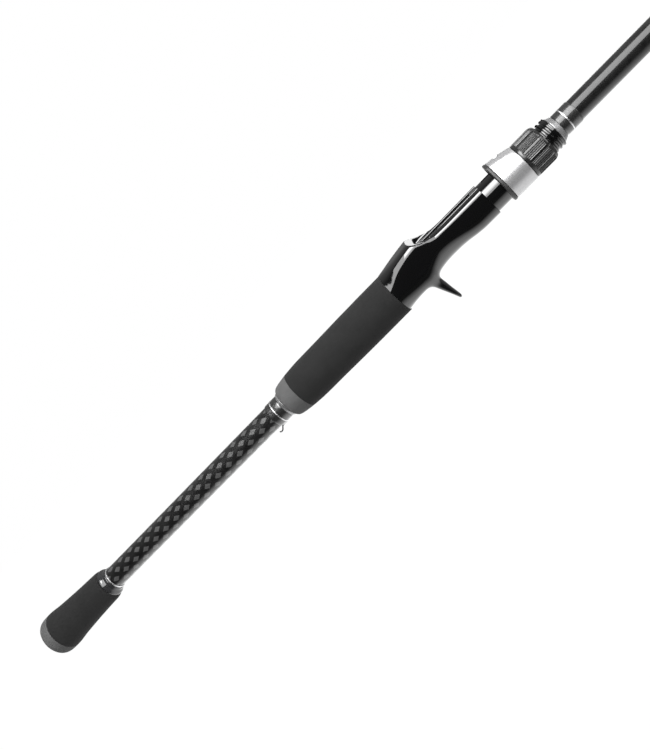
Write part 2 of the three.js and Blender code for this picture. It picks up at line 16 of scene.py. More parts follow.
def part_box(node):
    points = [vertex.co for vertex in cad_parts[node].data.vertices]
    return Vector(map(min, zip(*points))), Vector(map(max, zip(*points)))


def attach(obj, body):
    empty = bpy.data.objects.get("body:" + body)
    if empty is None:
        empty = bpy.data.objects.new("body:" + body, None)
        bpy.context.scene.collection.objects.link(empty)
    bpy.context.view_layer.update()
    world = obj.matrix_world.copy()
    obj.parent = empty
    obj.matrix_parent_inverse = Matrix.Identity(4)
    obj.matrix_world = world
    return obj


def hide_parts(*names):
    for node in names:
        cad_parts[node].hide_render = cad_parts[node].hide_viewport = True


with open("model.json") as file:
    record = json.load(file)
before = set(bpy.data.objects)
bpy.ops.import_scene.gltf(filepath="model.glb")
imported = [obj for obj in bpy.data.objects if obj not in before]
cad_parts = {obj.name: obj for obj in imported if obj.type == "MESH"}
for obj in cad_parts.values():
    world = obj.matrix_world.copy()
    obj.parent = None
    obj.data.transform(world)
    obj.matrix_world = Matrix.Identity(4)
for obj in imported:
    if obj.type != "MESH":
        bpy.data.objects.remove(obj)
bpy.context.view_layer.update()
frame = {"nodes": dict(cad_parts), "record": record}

MM = 0.001
TURN = 2 * math.pi
GLUE = 0.12  # gap that the CAD pieces keep along a glue line
RUNNING = 0.35  # room round a piece that slides or turns on another


# ---- places from the frame


def span(node):
    """First and last place of a CAD node along the rod, in millimetres."""
    low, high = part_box(node)
    return low.x / MM, high.x / MM


def reach(node):
    """Largest distance of a CAD node from the rod's axis across Y, in millimetres."""
    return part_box(node)[1].y / MM


CAP_END = span("butt_cap")[1]
SEAT = span("reel_seat")
HOOD = span("sliding_hood")
LINER = span("hood_liner")
NUT = span("lock_nut")
BLANK = span("blank")
BLANK_RADIUS = reach("blank")
SEAT_STEP = SEAT[0] + 68.8  # where the platform ends and the barrel starts
SEAT_BORE = 7.55
BARREL_RADIUS = 9.0

# The blank is parallel in the handle, then tapers in two straight stretches.
BLANK_PLACES = (BLANK[0], 214.0, 445.0, BLANK[1])
BLANK_RADII = (BLANK_RADIUS, BLANK_RADIUS, 6.25, 1.1)
BLANK_WALLS = (1.5, 0.55)  # thickness at the butt and at the tip


def blank_radius(x):
    """Outside radius of the blank at a place along it."""
    return float(np.interp(x, BLANK_PLACES, BLANK_RADII))


# ---- node material helpers


class Nodes:
    """A node tree and short ways to add nodes to it."""

    def __init__(self, tree):
        self.nodes, self.links = tree.nodes, tree.links

    def set(self, node, socket, value):
        """Gives a socket a constant, or a link from another node's output."""
        target = node.inputs[socket]
        if isinstance(value, bpy.types.NodeSocket):
            self.links.new(value, target)
        elif isinstance(value, (int, float)) and target.type == "RGBA":
            target.default_value = (value, value, value, 1)
        elif isinstance(value, (tuple, list)) and target.type == "RGBA":
            target.default_value = (*value[:3], 1)
        else:
            target.default_value = value

    def add(self, kind, sockets=None, **settings):
        node = self.nodes.new(kind)
        for key, value in settings.items():
            setattr(node, key, value)
        for socket, value in (sockets or {}).items():
            self.set(node, socket, value)
        return node

    def math(self, operation, *values):
        return self.add("ShaderNodeMath", dict(enumerate(values)), operation=operation).outputs[0]

    def vector(self, operation, sockets):
        return self.add("ShaderNodeVectorMath", sockets, operation=operation).outputs[0]

    def noise(self, scale, detail, vector=None, roughness=0.55):
        return self.add("ShaderNodeTexNoise", {
            "Vector": vector or self.mm, "Scale": scale, "Detail": detail, "Roughness": roughness,
        }).outputs[0]

    def ramp(self, value, low, high, to_low=0.0, to_high=1.0):
        return self.add("ShaderNodeMapRange", {
            "Value": value, "From Min": low, "From Max": high, "To Min": to_low, "To Max": to_high,
        }).outputs[0]

    def spread(self, noise, to_low, to_high):
        """Stretches the range that most of a noise lies in to a new one."""
        return self.ramp(noise, 0.3, 0.7, to_low, to_high)

    def grey(self, value):
        """A colour with the same value in its three channels."""
        return self.add("ShaderNodeCombineColor", {i: value for i in range(3)}).outputs[0]

    def bump(self, height, strength, distance, normal=None):
        """Relief from a height, its distance in millimetres, over the relief that normal gives."""
        node = self.add("ShaderNodeBump", {
            "Height": height, "Strength": strength, "Distance": distance * MM,
        })
        if normal is not None:
            self.set(node, "Normal", normal)
        return node.outputs[0]


class Shader(Nodes):
    """A principled material."""

    def __init__(self, name, color, roughness, metallic=0.0, **inputs):
        self.material = bpy.data.materials.new(name)
        self.material.use_nodes = True
        super().__init__(self.material.node_tree)
        self.bsdf = self.nodes["Principled BSDF"]
        self.put("Base Color", color)
        self.put("Roughness", roughness)
        self.put("Metallic", metallic)
        for key, value in inputs.items():
            self.put(key.replace("_", " "), value)
        self.place = self.add("ShaderNodeTexCoord").outputs["Object"]
        self.mm = self.vector("SCALE", {0: self.place, "Scale": 1 / MM})

    def put(self, socket, value):
            self.set(self.bsdf, socket, value)

    def around(self):
        """Place along the rod and angle round it, both as sockets: millimetres and radians."""
        split = self.add("ShaderNodeSeparateXYZ", {0: self.mm})
        return split.outputs[0], self.math("ARCTAN2", split.outputs[2], split.outputs[1])

    def finish(self, normal=None):
        if normal is not None:
            self.put("Normal", normal)
        return self.material


def foam(name, tone, fleck):
    """Closed-cell foam: matte, with open pores, faint sanding marks and handled patches."""
    s = Shader(name, (tone,) * 3, 0.92,
               Sheen_Weight=0.05, Sheen_Roughness=0.55, Specular_IOR_Level=0.12)
    pores = s.noise(3.6, 3.0, roughness=0.7)
    patches = s.noise(0.09, 2.0)
    skin = s.noise(0.9, 5.0)
    shade = s.math("MULTIPLY", s.spread(pores, 1 - fleck, 1 + fleck), s.spread(patches, 0.88, 1.14))
    s.put("Base Color", s.grey(s.math("MULTIPLY", shade, tone)))
    s.put("Roughness", s.spread(patches, 0.86, 0.97))
    return s.finish(s.bump(pores, 0.55, 0.10, s.bump(skin, 0.35, 0.12)))


def gloss_moulding(name, tone, roughness):
    """Injection-moulded gloss plastic with a faint orange peel and fine handling marks."""
    s = Shader(name, (tone, tone, tone * 1.05), roughness, IOR=1.66)
    peel = s.noise(0.35, 2.0)
    smudge = s.noise(0.12, 4.0)
    s.put("Roughness", s.ramp(smudge, 0.35, 0.75, roughness * 0.8, roughness * 1.9))
    return s.finish(s.bump(peel, 0.25, 0.02))


def satin_moulding(name, tone, roughness):
    """Satin plastic with a fine spark-eroded texture."""
    s = Shader(name, (tone,) * 3, roughness)
    grain = s.noise(6.0, 2.0)
    s.put("Roughness", s.spread(s.noise(0.4, 3.0), roughness * 0.85, roughness * 1.2))
    return s.finish(s.bump(grain, 0.2, 0.01))


def satin_metal(name, tone, roughness, brush=0.35, metallic=1.0):
    """Blasted or brushed metal, its brush lines running round the rod."""
    s = Shader(name, (tone, tone, tone * 1.01), roughness, metallic=metallic)
    lines = s.noise(1.0, 3.0, vector=s.vector("MULTIPLY", {0: s.mm, 1: (9.0, 0.25, 0.25)}))
    grain = s.noise(7.0, 2.0)
    s.put("Roughness", s.spread(lines, roughness * (1 - brush), roughness * (1 + brush)))
    return s.finish(s.bump(grain, 0.1, 0.005, s.bump(lines, 0.3 * brush, 0.01)))


def polished_metal(name, tone, roughness):
    """Bright metal with faint waves and uneven shine."""
    s = Shader(name, (tone, tone, tone * 1.01), roughness, metallic=1.0)
    s.put("Roughness", s.spread(s.noise(0.8, 3.0), roughness * 0.7, roughness * 1.5))
    return s.finish(s.bump(s.noise(0.6, 2.0), 0.2, 0.01))


def thread_under_varnish(name, tone=0.008):
    """Close turns of thread under clear epoxy: the turns show faintly through a wet-looking coat."""
    thread_width = 0.22
    s = Shader(name, (tone,) * 3, 0.4, Coat_Weight=1.0, Coat_Roughness=0.03, Coat_IOR=1.55)
    x, _ = s.around()
    turns = s.math("SINE", s.math("MULTIPLY", x, TURN / thread_width))
    s.put("Base Color", s.grey(s.ramp(turns, -1, 1, tone * 0.5, tone * 1.9)))
    s.put("Coat Normal", s.bump(s.noise(0.3, 2.0), 0.3, 0.03))
    return s.finish(s.bump(turns, 0.35, 0.02))


def wrapped_carbon(name):
    """Clear-coated carbon: crossing tape in the handle that leaves staggered diamonds, plain further on."""
    s = Shader(name, (0.01,) * 3, 0.3, Coat_Weight=1.0, Coat_Roughness=0.045, Coat_IOR=1.5,
               Specular_IOR_Level=0.2)
    pitch, rows, row_shift = 9.78, 12, 0.13  # between diamonds along the rod, their rows, where a row lies
    half_long, half_wide = 0.29, 0.46  # size of a diamond, in pitches and in rows
    tow_pitch = 1.05
    handle_end = 300.0  # a place under the main grip
    x, angle = s.around()
    p = s.math("DIVIDE", x, pitch)
    q = s.math("ADD", s.math("MULTIPLY", angle, rows / TURN), row_shift)
    # nearest centre of a lattice whose alternate rows are half a pitch apart
    row = s.math("ROUND", q)
    along = s.math("SUBTRACT", p, s.math("MULTIPLY", row, 0.5))
    dp = s.math("ABSOLUTE", s.math("SUBTRACT", along, s.math("ROUND", along)))
    dq = s.math("ABSOLUTE", s.math("SUBTRACT", q, row))
    fray = s.spread(s.noise(0.8, 3.0), -0.08, 0.08)
    edge = s.math("ADD", s.math("DIVIDE", dp, half_long), s.math("DIVIDE", dq, half_wide))
    diamond = s.ramp(s.math("ADD", edge, fray), 0.92, 1.04, 1, 0)
    # fine tow lines, crossing at the tape's angle
    wind = s.math("MULTIPLY", angle, BLANK_RADIUS)
    plus, minus = (
        s.math("SINE", s.math("MULTIPLY", s.math(way, x, wind), TURN / tow_pitch))
        for way in ("ADD", "SUBTRACT")
    )
    tow = s.math("MULTIPLY", plus, minus)
    wide_bands = s.ramp(s.noise(0.16, 2.0), 0.35, 0.65, 0.6, 1.5)
    bands = s.math("MULTIPLY", wide_bands, s.ramp(tow, -1, 1, 0.003, 0.011))
    handle = s.math("LESS_THAN", x, handle_end)
    shown = s.math("MULTIPLY", diamond, handle)
    tone = s.math("ADD", bands, s.math("MULTIPLY", shown, 0.1))
    s.put("Base Color", s.grey(tone))
    s.put("Metallic", s.math("MULTIPLY", shown, 0.5))
    s.put("Roughness", s.ramp(shown, 0, 1, 0.36, 0.3))
    s.put("Coat Normal", s.bump(s.noise(0.22, 2.0), 0.15, 0.02))
    return s.finish(s.bump(s.math("MULTIPLY", tow, handle), 0.35, 0.03, s.bump(shown, 0.4, 0.05)))


def paper_tape(name):
    """Rough paper tape, wound in close turns."""
    tape_width = 3.0
    s = Shader(name, (0.48, 0.4, 0.27), 0.8)
    x, _ = s.around()
    edges = s.math("SINE", s.math("MULTIPLY", x, TURN / tape_width))
    return s.finish(s.bump(edges, 0.4, 0.05, s.bump(s.noise(2.0, 5.0), 0.4, 0.05)))


def polished_ceramic(name):
    s = Shader(name, (0.02, 0.02, 0.023), 0.08, IOR=1.9)
    return s.finish(s.bump(s.noise(1.5, 3.0), 0.1, 0.01))


MATERIALS = {
    "eva_black": foam("foam_black", 0.013, fleck=0.16),
    "eva_grey": foam("foam_grey", 0.078, fleck=0.12),
    "carbon_blank": wrapped_carbon("carbon_blank"),
    "winding_check_black": gloss_moulding("check_black", 0.02, roughness=0.08),
    "winding_check_grey": satin_metal("check_grey", 0.26, roughness=0.27, brush=0.1, metallic=0.6),
    "trim_silver": polished_metal("trim_silver", 0.7, roughness=0.4),
    "wire_steel": polished_metal("wire_steel", 0.2, roughness=0.3),
    "thread_wrap": thread_under_varnish("thread_wrap"),
    "seat_black": gloss_moulding("seat_black", 0.003, roughness=0.06),
    "arbor": paper_tape("arbor_tape"),
    "hood_silver": satin_metal("hood_silver", 0.42, roughness=0.35, brush=0.08, metallic=0.65),
    "liner": satin_moulding("liner_grey", 0.022, roughness=0.5),
    "nut_black": satin_moulding("nut_black", 0.014, roughness=0.2),
    "guide_frame": satin_metal("guide_steel", 0.12, roughness=0.25),
    "guide_ring": polished_ceramic("guide_ceramic"),
}


# ---- mesh helpers


CREASE = 32  # degrees between two faces from which their edge shows as sharp


def circle(count):
    """Cosines and sines of even angles round a circle."""
    a = np.arange(count) * TURN / count
    return np.cos(a), np.sin(a)


def squared(wave, power):
    """A sine or cosine raised to a power below one, which makes a circle squarer."""
    return np.sign(wave) * np.abs(wave) ** power


def ring(x, y, z):
    """Points of an outline, of which one coordinate may be a single number."""
    return np.column_stack(np.broadcast_arrays(x, y, z))


def linked(name, data):
    obj = bpy.data.objects.new(name, data)
    bpy.context.scene.collection.objects.link(obj)
    return obj


def as_object(name, vertices, faces, slot, sharp=CREASE):
    """A smooth-shaded mesh object from points in millimetres, creased where faces meet sharply."""
    mesh = bpy.data.meshes.new(name)
    points = (np.asarray(vertices, float) * MM).tolist()
    mesh.from_pydata(points, [], [list(map(int, face)) for face in faces])
    mesh.validate()
    bm = bmesh.new()
    bm.from_mesh(mesh)
    bmesh.ops.recalc_face_normals(bm, faces=bm.faces)
    bm.to_mesh(mesh)
    bm.free()
    return dress(linked(name, mesh), slot, sharp)


def dress(obj, slot, sharp=CREASE):
    """Gives an object its material, smooth faces and creases."""
    obj.data.materials.clear()
    obj.data.materials.append(MATERIALS[slot])
    obj.data.polygons.foreach_set("use_smooth", [True] * len(obj.data.polygons))
    obj.data.set_sharp_from_angle(angle=math.radians(sharp))
    return obj


def stand_in(obj, body, *nodes):
    """The object rides on a CAD body and stands for CAD nodes on it."""
    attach(obj, body)
    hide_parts(*nodes)


def rounded(points, radius, steps=5):
    """A polyline with its corners turned into arcs. radius is one number or one for each point."""
    points = [np.array(p, float) for p in points]
    radii = [radius] * len(points) if np.isscalar(radius) else list(radius)
    out = [points[0]]
    for before, corner, after, r in zip(points, points[1:], points[2:], radii[1:-1]):
        a, b = before - corner, after - corner
        la, lb = np.linalg.norm(a), np.linalg.norm(b)
        half = math.acos(np.clip(np.dot(a, b) / (la * lb), -1, 1)) / 2
        if r <= 0 or half > math.radians(89):
            out.append(corner)
            continue
        cut = min(r / math.tan(half), 0.49 * la, 0.49 * lb)
        start, end = corner + a / la * cut, corner + b / lb * cut
        for i in range(steps + 1):
            t = i / steps
            out.append((1 - t) ** 2 * start + 2 * t * (1 - t) * corner + t * t * end)
    return out + [points[-1]]


def eased(rows, count):
    """A smooth curve through rows that start with their place, sampled evenly."""
    rows = np.array(rows, float)
    x = np.linspace(rows[0, 0], rows[-1, 0], count)
    return np.column_stack([x] + looked_up(rows, x))


def looked_up(table, x):
    """The columns of a table after its first, each at the places x along the first."""
    return [pchip(table[:, 0], column, x) for column in table[:, 1:].T]


def pchip(xs, ys, x):
    """Monotone cubic through points, so that a curve never overshoots its points."""
    h = np.diff(xs)
    slope = np.diff(ys) / h
    d = np.zeros(len(xs))
    d[0], d[-1] = slope[0], slope[-1]
    for i in range(1, len(xs) - 1):
        if slope[i - 1] * slope[i] > 0:
            w1, w2 = 2 * h[i] + h[i - 1], h[i] + 2 * h[i - 1]
            d[i] = (w1 + w2) / (w1 / slope[i - 1] + w2 / slope[i])
    i = np.clip(np.searchsorted(xs, x) - 1, 0, len(h) - 1)
    t = np.clip((x - xs[i]) / h[i], 0, 1)
    return (
        (1 + 2 * t) * (1 - t) ** 2 * ys[i] + t * (1 - t) ** 2 * h[i] * d[i]
        + t * t * (3 - 2 * t) * ys[i + 1] - t * t * (1 - t) * h[i] * d[i + 1]
    )


def grid_faces(rows, sides, loop):
    """Quads between rings of points, the last ring joined to the first if loop."""
    faces = []
    for i in range(rows if loop else rows - 1):
        j = (i + 1) % rows
        for k in range(sides):
            m = (k + 1) % sides
            faces.append((i * sides + k, i * sides + m, j * sides + m, j * sides + k))
    return faces


def turned(name, profile, slot, sides=128, wave=None, sharp=CREASE):
    """A piece turned about the rod. The profile is a loop of (along, radius), and wave(x, r, angle) may
    change the radius round it."""
    profile = np.array(profile, float)
    x = np.repeat(profile[:, 0], sides)
    r = np.repeat(profile[:, 1], sides)
    a = np.tile(np.arange(sides) * TURN / sides, len(profile))
    if wave:
        r = wave(x, r, a)
    points = ring(x, r * np.cos(a), r * np.sin(a))
    return as_object(name, points, grid_faces(len(profile), sides, True), slot, sharp)


def turned_fitting(node, name, outline, radius, slot):
    """A turned piece with rounded edges in the place of a CAD node of the rod."""
    stand_in(turned(name, rounded(outline, radius), slot), "rod", node)


def skinned(name, rings, slot, sharp=CREASE):
    """A closed solid over rings of points, with flat ends."""
    rings = np.array(rings, float)
    count, sides = rings.shape[:2]
    faces = grid_faces(count, sides, False)
    faces += [tuple(range(sides)), tuple((count - 1) * sides + k for k in range(sides))]
    return as_object(name, rings.reshape(-1, 3), faces, slot, sharp)


def tube(name, points, radius, slot, sides=16, steps=10):
    """A round wire along a smooth line through the points, with its ends closed."""
    points = np.array(points, float)
    t = np.arange(len(points))
    fine = np.linspace(0, len(points) - 1, (len(points) - 1) * steps + 1)
    line = np.column_stack([pchip(t, points[:, k], fine) for k in range(3)])
    radii = np.full(len(fine), radius) if np.isscalar(radius) else np.interp(fine, t, radius)
    ahead = np.gradient(line, axis=0)
    ahead /= np.linalg.norm(ahead, axis=1)[:, None]
    side = np.cross(ahead, (0, 1, 0))
    weak = np.linalg.norm(side, axis=1) < 0.2
    side[weak] = np.cross(ahead[weak], (0, 0, 1))
    side /= np.linalg.norm(side, axis=1)[:, None]
    up = np.cross(side, ahead)
    c, s = circle(sides)
    rings = [
        line[i] + radii[i] * (np.outer(c, side[i]) + np.outer(s, up[i])) for i in range(len(fine))
    ]
    return skinned(name, rings, slot)


def block(name, low, high):
    """A plain box that only serves as a cutter."""
    (x0, y0, z0), (x1, y1, z1) = low, high
    corners = [(x, y, z) for x in (x0, x1) for y in (y0, y1) for z in (z0, z1)]
    faces = [(0, 1, 3, 2), (4, 6, 7, 5), (0, 4, 5, 1), (2, 3, 7, 6), (0, 2, 6, 4), (1, 5, 7, 3)]
    return as_object(name, corners, faces, "liner")


def boolean(obj, cutter, operation="DIFFERENCE"):
    """Joins or cuts one mesh with another, and removes the other."""
    step = obj.modifiers.new("cut", "BOOLEAN")
    step.operation = operation
    step.solver = "MANIFOLD"
    step.object = cutter
    bake(obj)
    bpy.data.objects.remove(cutter)


def bake(obj):
    """Applies an object's modifiers to its mesh."""
    bpy.context.view_layer.update()
    graph = bpy.context.evaluated_depsgraph_get()
    mesh = bpy.data.meshes.new_from_object(obj.evaluated_get(graph))
    obj.modifiers.clear()
    obj.data = mesh


def joined(objects):
    """Several meshes as one object, without a boolean."""
    base = objects[0]
    bm = bmesh.new()
    for obj in objects:
        bm.from_mesh(obj.data)
    bm.to_mesh(base.data)
    bm.free()
    for obj in objects[1:]:
        bpy.data.objects.remove(obj)
    return base


# ---- grips


def foam_grip(name, outline, bore, slot, seed, sag=0.035):
    """A turned foam grip whose skin wanders a little, as sanded foam does."""
    x0, x1 = outline[0][0], outline[-1][0]
    profile = [(x0, bore)] + [tuple(p) for p in outline] + [(x1, bore)]
    rng = np.random.default_rng(seed)
    waves = [(rng.uniform(0.1, 0.55), rng.integers(1, 6), rng.uniform(0, TURN)) for _ in range(9)]

    def wander(x, r, a):
        moved = sum(np.sin(k * x + n * a + phase) for k, n, phase in waves) / len(waves)
        return np.where(r > bore + 0.5, r + sag * moved, r)

    return turned(name, profile, slot, sides=160, wave=wander, sharp=50)


def glued_grip(node, name, rows, count, slot, seed):
    """A foam grip in the place of its CAD node, over a smooth outline of (place, radius) rows."""
    bore = BLANK_RADIUS + GLUE
    stand_in(foam_grip(name, eased(rows, count), bore, slot, seed), "rod", node)


def butt_end():
    bore = BLANK_RADIUS + GLUE
    rim = reach("butt_cap")
    dome = rounded(
        [(0, 0.02), (0, 6.4), (0.1, 9.1), (0.4, 10.7), (0.9, 11.8), (1.6, 12.5), (2.6, 13.0), (4.0, 13.3),
         (6.0, rim - 0.03), (CAP_END, rim)], 0.9, 4)
    # the cap is solid behind the blank, so its loop closes across the blank's end
    cap = foam_grip("butt_cap_foam", dome + [(CAP_END, rim)], bore, "eva_grey", 3)
    stand_in(cap, "rod", "butt_cap")

    x0, x1 = span("butt_grip")
    rows = [(x0, 13.45), (12, 13.32), (16, 12.88), (20, 12.42), (25, 12.05), (30, 11.7), (36, 11.32),
            (43, 10.97), (50, 10.66), (54.5, 10.45), (56.2, 10.2), (57.0, 9.85), (x1, 9.5)]
    glued_grip("butt_grip", "butt_grip_foam", rows, 90, "eva_black", 4)

    x0, x1 = span("butt_winding_check")
    collar = [(x0, bore), (x0, 9.0), (x0 + 0.35, 9.5), (x0 + 1.0, 9.6), (x0 + 1.9, 9.35), (x0 + 2.7, 8.8),
              (x0 + 3.4, 8.15), (x1 - 0.4, 7.85), (x1, 7.75), (x1, bore)]
    turned_fitting("butt_winding_check", "butt_collar", collar, 0.5, "winding_check_black")
    trim_ring("butt_trim_ring", 0.3)


def trim_ring(node, radius=0.2):
    """A thin bright ring with rounded edges in the place of its CAD node."""
    x0, x1 = (edge + inset for edge, inset in zip(span(node), (0.12, -0.12)))
    outer = reach(node) - 0.04
    inner = outer - 0.34  # the ring's thickness
    outline = [(x0, inner), (x0, outer), (x1, outer), (x1, inner)]
    turned_fitting(node, node + "_polished", outline, radius, "trim_silver")


def main_grip():
    x0, x1 = span("grip_end_band")
    rows = [(x0, 8.6), (x0 + 0.4, 9.5), (x0 + 1.3, 10.3), (x0 + 3.3, 10.95), (x0 + 7, 11.55), (x1, 12.03)]
    glued_grip("grip_end_band", "grip_band_foam", rows, 50, "eva_grey", 5)
    x0, x1 = span("main_grip")
    rows = [(x0, 12.05), (240.8, 12.32), (245, 12.57), (250, 12.66), (262, 12.69), (275, 12.82),
            (290, 12.9), (304, 12.87), (x1, 12.8)]
    glued_grip("main_grip", "main_grip_foam", rows, 150, "eva_black", 6)


# ---- blank, wraps and trims


def blank_tube():
    places = np.concatenate([np.linspace(BLANK[0], 520, 60), np.linspace(540, BLANK[1], 60)])
    outside = [(x, blank_radius(x)) for x in places]
    inside = [(x, blank_radius(x) - np.interp(x, BLANK, BLANK_WALLS)) for x in places[::-1]]
    stand_in(turned("blank_tube", outside + inside, "carbon_blank", sides=96), "rod", "blank")


def thread_wrap(node, name, ring_node, depth):
    """A varnished wrap with domed ends and a seat of some depth for its trim ring."""
    (x0, x1), (r0, r1), radius = span(node), span(ring_node), reach(node)
    r0, r1 = r0 - 0.05, r1 + 0.05
    low = blank_radius(x0) + 0.02
    ends = [(x0, low), (x0 + 0.1, radius - 0.22), (x0 + 0.9, radius), (r0, radius), (r0, radius - depth),
            (r1, radius - depth), (r1, radius), (x1 - 0.9, radius), (x1 - 0.1, radius - 0.22), (x1, low)]
    fine = rounded(ends, [0, 0.25, 0.5, 0, 0, 0, 0, 0.5, 0.25, 0], 6)
    stand_in(turned(name, fine, "thread_wrap", sharp=60), "rod", node)


def fittings():
    """Wraps, collars and trim rings on both sides of the grip and seat, and the hook keeper."""
    thread_wrap("rear_thread_wrap", "rear_wrap_varnished", "rear_trim_ring", 0.2)
    trim_ring("rear_trim_ring")
    x0, x1 = span("rear_winding_check")
    bore = BLANK_RADIUS + 0.05
    bevel = [(x0, bore), (x0, 7.75), (x0 + 0.5, 8.15), (x1 - 0.2, 8.55), (x1, 8.4), (x1, bore)]
    turned_fitting("rear_winding_check", "rear_collar", bevel, 0.25, "winding_check_grey")

    x0, x1 = span("front_winding_check")
    bore = blank_radius(x0) + 0.05
    cone = [(x0, bore), (x0, 7.95), (x0 + 0.55, 7.9), (x1 - 0.35, 6.9), (x1, 6.75), (x1, bore)]
    turned_fitting("front_winding_check", "front_collar", cone, 0.2, "winding_check_grey")
    thread_wrap("front_thread_wrap", "front_wrap_varnished", "front_trim_ring", 0.12)
    trim_ring("front_trim_ring", 0.15)
    hook_keeper()


def hook_keeper():
    """Bent wire hook, its foot under the wrap's rear end."""
    x = span("rear_thread_wrap")[0]
    wire, drop = 0.43, 2.3  # the wire's radius, and how far the hook hangs below its foot
    shaft = -(BLANK_RADIUS + GLUE + wire)
    low = shaft - drop
    line = [(x + 2.8, 0, shaft), (x + 1, 0, shaft), (x - 0.8, 0, shaft - 0.25), (x - 2, 0, shaft - 1.2),
            (x - 3, 0, low + 0.25), (x - 4.2, 0, low), (x - 5.2, 0, low + 0.7)]
    stand_in(tube("keeper_wire", line, wire, "wire_steel"), "rod", "hook_keeper")


# ---- reel seat

# Sections of the seat's body: place, top before the mouth is cut, underside, half width, height of the
# widest line, and how square the upper and lower halves are (2 is an ellipse).
SEAT_TABLE = np.array([
    (312, 12.75, -12.45, 12.75, 0, 2.05, 2),
    (313.7, 12.85, -12.3, 12.7, 0, 2.1, 2.05),
    (317, 13.2, -11.7, 12.5, 0.5, 2.3, 2.2),
    (321, 13.65, -10.95, 12.15, 1.4, 2.8, 2.6),
    (325, 14.1, -10.5, 11.8, 2.2, 3.4, 3),
    (330, 14.7, -10.3, 11.45, 2.8, 3.9, 3.3),
    (334, 15.15, -10, 11.2, 3.2, 4.1, 3.3),
    (337, 15.5, -9.5, 10.95, 3.4, 4, 3.1),
    (340, 15.6, -8.95, 10.6, 3.4, 4, 2.7),
    (343.5, 14.4, -8.5, 10.2, 3.3, 4.4, 2.2),
    (348, 11, -8.25, 9.75, 3, 4, 1.8),
    (352, 9.5, -8.15, 9.45, 2.5, 4.3, 1.75),
    (357, 9.15, -8.2, 9.3, 1.8, 4.6, 1.85),
    (362, 9.05, -8.5, 9.25, 1, 4.6, 2.05),
    (368, 9.05, -9.2, 9.3, 0.4, 4.6, 2.4),
    (374, 9.05, -9.6, 9.3, 0, 4.6, 2.6),
    (386, 9.05, -9.65, 9.3, 0, 4.6, 2.6),
])
# Side view of the slope in front of the fixed hood, which cuts its mouth: place and height.
MOUTH_TABLE = np.array([
    (330, 24), (334.8, 18.6), (337.5, 15.45), (339.7, 13.7), (341.7, 12.4), (343.7, 11.3),
    (346, 10.4), (348.5, 9.8), (352, 9.55), (360, 9.9), (390, 12),
])
# Trigger from its end up to its root: height, rear and front places, half width.
TRIGGER_TABLE = np.array([
    (-29, 337.6, 339, 2.4), (-27, 337.1, 339, 3.5), (-24.5, 336.3, 338.8, 4.4),
    (-20.5, 334.8, 338.4, 5.2), (-16.5, 333.2, 338.1, 5.9), (-13.3, 332, 337.9, 6.5),
    (-11, 331.2, 337.9, 7.1), (-9, 330.6, 338, 7.8), (-6, 329.6, 338.2, 8.8),
    (0, 328, 338.5, 9.6),
])
TRIGGER_TIP = -27.62
TRIGGER_SQUARE = 3.0  # how square the trigger's section is
MOUTH_BLEND, TRIGGER_BLEND = 0.4, 3.6  # how softly the moulding's surfaces run into each other

# The pocket under the fixed hood: half width, floor and ceiling, and its sections from the rear, each a
# place, a ceiling and a share of the half width.
POCKET_HALF, POCKET_FLOOR, POCKET_CEILING = 7.2, 8.5, 12.6
POCKET_ROWS = [
    (325, POCKET_FLOOR + 1.5, 0.8), (328, POCKET_FLOOR + 3.0, 0.93), (332, POCKET_CEILING - 0.3, 1),
    (338, POCKET_CEILING, 1), (341, POCKET_CEILING + 0.3, 1.02), (344, POCKET_CEILING + 3, 1.05),
    (349.5, POCKET_CEILING + 3, 1.05),
]

# Channel along the platform, and the ribs in it: place across, front end and top.
CHANNEL_START, CHANNEL_HALF, CHANNEL_FLOOR = 343.5, 4.95, 8.45
RIB_START, RIB_HALF = 344.6, 0.85
RIBS = [(-3.9, SEAT_STEP - 0.1, 9.25), (0, SEAT_STEP - 5, 10.07), (3.9, SEAT_STEP - 0.1, 9.25)]

THREAD_START = 397.0
THREAD_PITCH = 2.5
THREAD_DEPTH = 0.68
KEYWAY_HALF, KEYWAY_FLOOR = 1.5, 8.25

# Where a cutter ends that goes right through: behind and in front of the seat, to its sides, above it.
CLEAR_REAR, CLEAR_FRONT, CLEAR_SIDE, CLEAR_TOP = 300, 400, 20, 12


def smooth_max(a, b, k):
    """The larger of two, eased over a width k where they are close."""
    h = np.clip(0.5 + 0.5 * (a - b) / k, 0, 1)
    return b + (a - b) * h + k * h * (1 - h)


def smooth_min(a, b, k):
    return -smooth_max(-a, -b, k)


def curve_distance(u, v, n, half_u, half_v):
    """Rough distance to a superellipse, below zero inside. u and v are shares of its two half sizes."""
    u, v = np.abs(u) + 1e-9, np.abs(v) + 1e-9
    level = (u**n + v**n) ** (1 / n)
    slope = level ** (1 - n) * np.hypot(u ** (n - 1) / half_u, v ** (n - 1) / half_v)
    return (level - 1) / np.maximum(slope, 1e-6)


def body_distance(y, z, top, bottom, half, middle, square_top, square_bottom):
    """Rough distance to a section of the seat, whose upper and lower halves are superellipses."""
    upper = z >= middle
    n = np.where(upper, square_top, square_bottom)
    rise = np.where(upper, top - middle, middle - bottom)
    return curve_distance(y / half, (z - middle) / rise, n, half, rise)


def seat_field(p):
    """Rough distance to the seat's outside: body cut by the mouth's slope, blended with the trigger."""
    x, y, z = p.T
    body = body_distance(y, z, *looked_up(SEAT_TABLE, x))
    slope = (z - looked_up(MOUTH_TABLE, x)[0]) * 0.75
    body = smooth_max(body, slope, MOUTH_BLEND)
    rear, front, half = looked_up(TRIGGER_TABLE, z)
    long = (front - rear) / 2
    spur = curve_distance((x - (front + rear) / 2) / long, y / half, TRIGGER_SQUARE, long, half)
    spur = smooth_max(spur, TRIGGER_TIP - z, 1.2)
    spur = smooth_max(spur, z + 2, 1.0)
    return smooth_min(body, spur, TRIGGER_BLEND)


